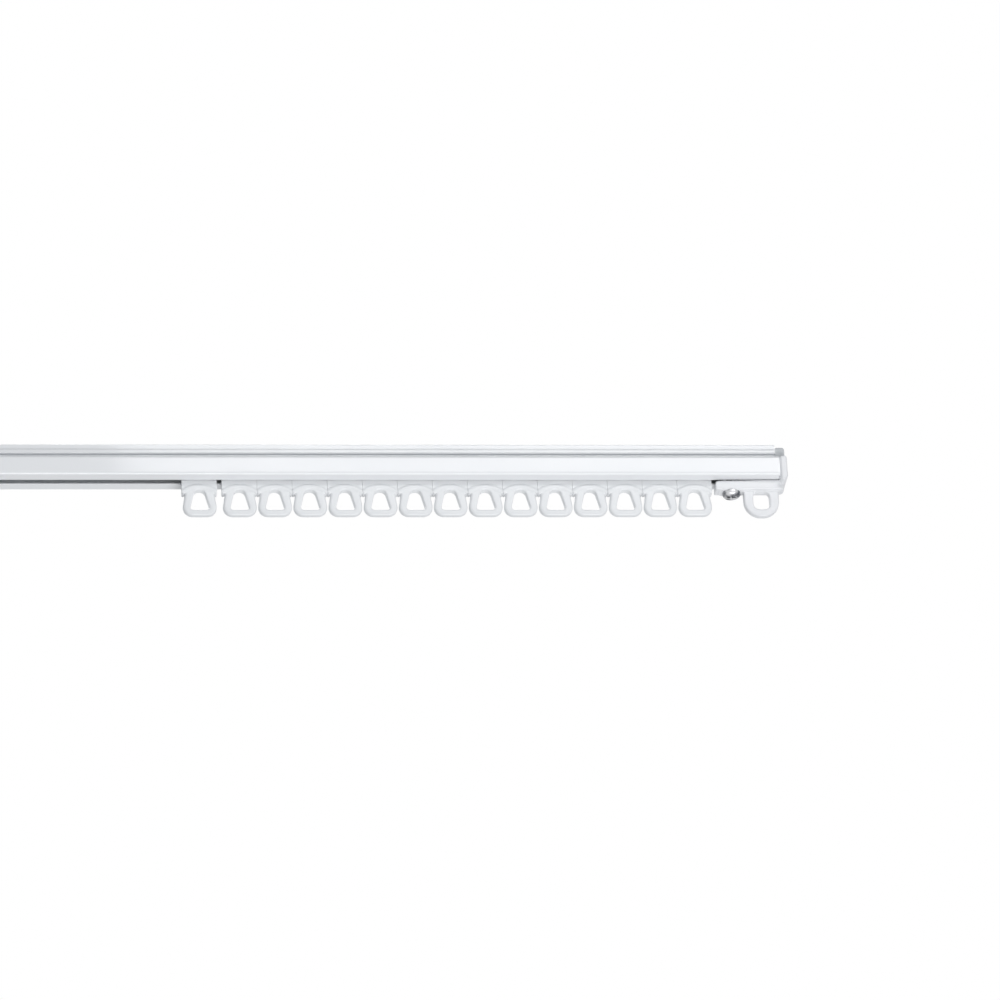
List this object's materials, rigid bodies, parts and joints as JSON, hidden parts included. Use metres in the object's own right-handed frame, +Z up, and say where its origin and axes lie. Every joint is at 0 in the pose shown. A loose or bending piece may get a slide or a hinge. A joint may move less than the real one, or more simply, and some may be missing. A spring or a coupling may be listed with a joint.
{
  "type": "curtain track",
  "caption": "Straight white curtain track with a slot along its underside, wheeled ring runners that slide in it, and screwed end caps with hook eyes.",
  "frame": {"origin": "middle of the rail's top face", "axes": "+X along the rail towards the end where the runners are stacked, +Y away from the room, +Z up out of the top face"},
  "size_m": [0.6068, 0.016, 0.0332],
  "materials": {
    "rail_white": "white powder coat, semi-gloss",
    "runner_white": "moulded white plastic",
    "wheel_white": "moulded white plastic",
    "axle_steel": "drawn steel",
    "cap_white": "moulded white plastic",
    "plug_grey": "moulded grey plastic",
    "screw_zinc": "bright zinc plate",
    "nut_zinc": "bright zinc plate"
  },
  "bodies": {
    "track": {"rail": "rail_white", "end_cap_right": "cap_white", "rib_plug_right": "plug_grey", "cap_screw_right": "screw_zinc", "cap_nut_right": "nut_zinc", "end_cap_left": "cap_white", "rib_plug_left": "plug_grey", "cap_screw_left": "screw_zinc", "cap_nut_left": "nut_zinc"},
    "carriage_15": {"runner_15": "runner_white"},
    "wheelset_15": {"wheel_pair_15": "wheel_white", "wheel_axle_15": "axle_steel"},
    "carriage_14": {"runner_14": "runner_white"},
    "wheelset_14": {"wheel_pair_14": "wheel_white", "wheel_axle_14": "axle_steel"},
    "carriage_13": {"runner_13": "runner_white"},
    "wheelset_13": {"wheel_pair_13": "wheel_white", "wheel_axle_13": "axle_steel"},
    "carriage_12": {"runner_12": "runner_white"},
    "wheelset_12": {"wheel_pair_12": "wheel_white", "wheel_axle_12": "axle_steel"},
    "carriage_11": {"runner_11": "runner_white"},
    "wheelset_11": {"wheel_pair_11": "wheel_white", "wheel_axle_11": "axle_steel"},
    "carriage_10": {"runner_10": "runner_white"},
    "wheelset_10": {"wheel_pair_10": "wheel_white", "wheel_axle_10": "axle_steel"},
    "carriage_09": {"runner_09": "runner_white"},
    "wheelset_09": {"wheel_pair_09": "wheel_white", "wheel_axle_09": "axle_steel"},
    "carriage_08": {"runner_08": "runner_white"},
    "wheelset_08": {"wheel_pair_08": "wheel_white", "wheel_axle_08": "axle_steel"},
    "carriage_07": {"runner_07": "runner_white"},
    "wheelset_07": {"wheel_pair_07": "wheel_white", "wheel_axle_07": "axle_steel"},
    "carriage_06": {"runner_06": "runner_white"},
    "wheelset_06": {"wheel_pair_06": "wheel_white", "wheel_axle_06": "axle_steel"},
    "carriage_05": {"runner_05": "runner_white"},
    "wheelset_05": {"wheel_pair_05": "wheel_white", "wheel_axle_05": "axle_steel"},
    "carriage_04": {"runner_04": "runner_white"},
    "wheelset_04": {"wheel_pair_04": "wheel_white", "wheel_axle_04": "axle_steel"},
    "carriage_03": {"runner_03": "runner_white"},
    "wheelset_03": {"wheel_pair_03": "wheel_white", "wheel_axle_03": "axle_steel"},
    "carriage_02": {"runner_02": "runner_white"},
    "wheelset_02": {"wheel_pair_02": "wheel_white", "wheel_axle_02": "axle_steel"},
    "carriage_01": {"runner_01": "runner_white"},
    "wheelset_01": {"wheel_pair_01": "wheel_white", "wheel_axle_01": "axle_steel"}
  },
  "joints": [
    {"name": "runner_15_slide", "type": "slide", "parent": "track", "child": "carriage_15", "axis": [1, 0, 0], "range_m": [-0.0204, 0.0014]},
    {"name": "wheels_15_spin", "type": "hinge", "parent": "carriage_15", "child": "wheelset_15", "pos_m": [0.26232, 0, -0.0115], "axis": [0, 1, 0], "continuous": true},
    {"name": "runner_14_slide", "type": "slide", "parent": "carriage_15", "child": "carriage_14", "axis": [1, 0, 0], "range_m": [-0.0204, 0]},
    {"name": "wheels_14_spin", "type": "hinge", "parent": "carriage_14", "child": "wheelset_14", "pos_m": [0.24688, 0, -0.0115], "axis": [0, 1, 0], "continuous": true},
    {"name": "runner_13_slide", "type": "slide", "parent": "carriage_14", "child": "carriage_13", "axis": [1, 0, 0], "range_m": [-0.0204, 0]},
    {"name": "wheels_13_spin", "type": "hinge", "parent": "carriage_13", "child": "wheelset_13", "pos_m": [0.23142, 0, -0.0115], "axis": [0, 1, 0], "continuous": true},
    {"name": "runner_12_slide", "type": "slide", "parent": "carriage_13", "child": "carriage_12", "axis": [1, 0, 0], "range_m": [-0.0204, 0]},
    {"name": "wheels_12_spin", "type": "hinge", "parent": "carriage_12", "child": "wheelset_12", "pos_m": [0.21598, 0, -0.0115], "axis": [0, 1, 0], "continuous": true},
    {"name": "runner_11_slide", "type": "slide", "parent": "carriage_12", "child": "carriage_11", "axis": [1, 0, 0], "range_m": [-0.0204, 0]},
    {"name": "wheels_11_spin", "type": "hinge", "parent": "carriage_11", "child": "wheelset_11", "pos_m": [0.20053, 0, -0.0115], "axis": [0, 1, 0], "continuous": true},
    {"name": "runner_10_slide", "type": "slide", "parent": "carriage_11", "child": "carriage_10", "axis": [1, 0, 0], "range_m": [-0.0204, 0]},
    {"name": "wheels_10_spin", "type": "hinge", "parent": "carriage_10", "child": "wheelset_10", "pos_m": [0.18507, 0, -0.0115], "axis": [0, 1, 0], "continuous": true},
    {"name": "runner_09_slide", "type": "slide", "parent": "carriage_10", "child": "carriage_09", "axis": [1, 0, 0], "range_m": [-0.0204, 0]},
    {"name": "wheels_09_spin", "type": "hinge", "parent": "carriage_09", "child": "wheelset_09", "pos_m": [0.16962, 0, -0.0115], "axis": [0, 1, 0], "continuous": true},
    {"name": "runner_08_slide", "type": "slide", "parent": "carriage_09", "child": "carriage_08", "axis": [1, 0, 0], "range_m": [-0.0204, 0]},
    {"name": "wheels_08_spin", "type": "hinge", "parent": "carriage_08", "child": "wheelset_08", "pos_m": [0.15418, 0, -0.0115], "axis": [0, 1, 0], "continuous": true},
    {"name": "runner_07_slide", "type": "slide", "parent": "carriage_08", "child": "carriage_07", "axis": [1, 0, 0], "range_m": [-0.0204, 0]},
    {"name": "wheels_07_spin", "type": "hinge", "parent": "carriage_07", "child": "wheelset_07", "pos_m": [0.13872, 0, -0.0115], "axis": [0, 1, 0], "continuous": true},
    {"name": "runner_06_slide", "type": "slide", "parent": "carriage_07", "child": "carriage_06", "axis": [1, 0, 0], "range_m": [-0.0204, 0]},
    {"name": "wheels_06_spin", "type": "hinge", "parent": "carriage_06", "child": "wheelset_06", "pos_m": [0.12327, 0, -0.0115], "axis": [0, 1, 0], "continuous": true},
    {"name": "runner_05_slide", "type": "slide", "parent": "carriage_06", "child": "carriage_05", "axis": [1, 0, 0], "range_m": [-0.0204, 0]},
    {"name": "wheels_05_spin", "type": "hinge", "parent": "carriage_05", "child": "wheelset_05", "pos_m": [0.10783, 0, -0.0115], "axis": [0, 1, 0], "continuous": true},
    {"name": "runner_04_slide", "type": "slide", "parent": "carriage_05", "child": "carriage_04", "axis": [1, 0, 0], "range_m": [-0.0204, 0]},
    {"name": "wheels_04_spin", "type": "hinge", "parent": "carriage_04", "child": "wheelset_04", "pos_m": [0.09237, 0, -0.0115], "axis": [0, 1, 0], "continuous": true},
    {"name": "runner_03_slide", "type": "slide", "parent": "carriage_04", "child": "carriage_03", "axis": [1, 0, 0], "range_m": [-0.0204, 0]},
    {"name": "wheels_03_spin", "type": "hinge", "parent": "carriage_03", "child": "wheelset_03", "pos_m": [0.07692, 0, -0.0115], "axis": [0, 1, 0], "continuous": true},
    {"name": "runner_02_slide", "type": "slide", "parent": "carriage_03", "child": "carriage_02", "axis": [1, 0, 0], "range_m": [-0.0204, 0]},
    {"name": "wheels_02_spin", "type": "hinge", "parent": "carriage_02", "child": "wheelset_02", "pos_m": [0.06148, 0, -0.0115], "axis": [0, 1, 0], "continuous": true},
    {"name": "runner_01_slide", "type": "slide", "parent": "carriage_02", "child": "carriage_01", "axis": [1, 0, 0], "range_m": [-0.0204, 0.0021]},
    {"name": "wheels_01_spin", "type": "hinge", "parent": "carriage_01", "child": "wheelset_01", "pos_m": [0.04392, 0, -0.0115], "axis": [0, 1, 0], "continuous": true}
  ]
}
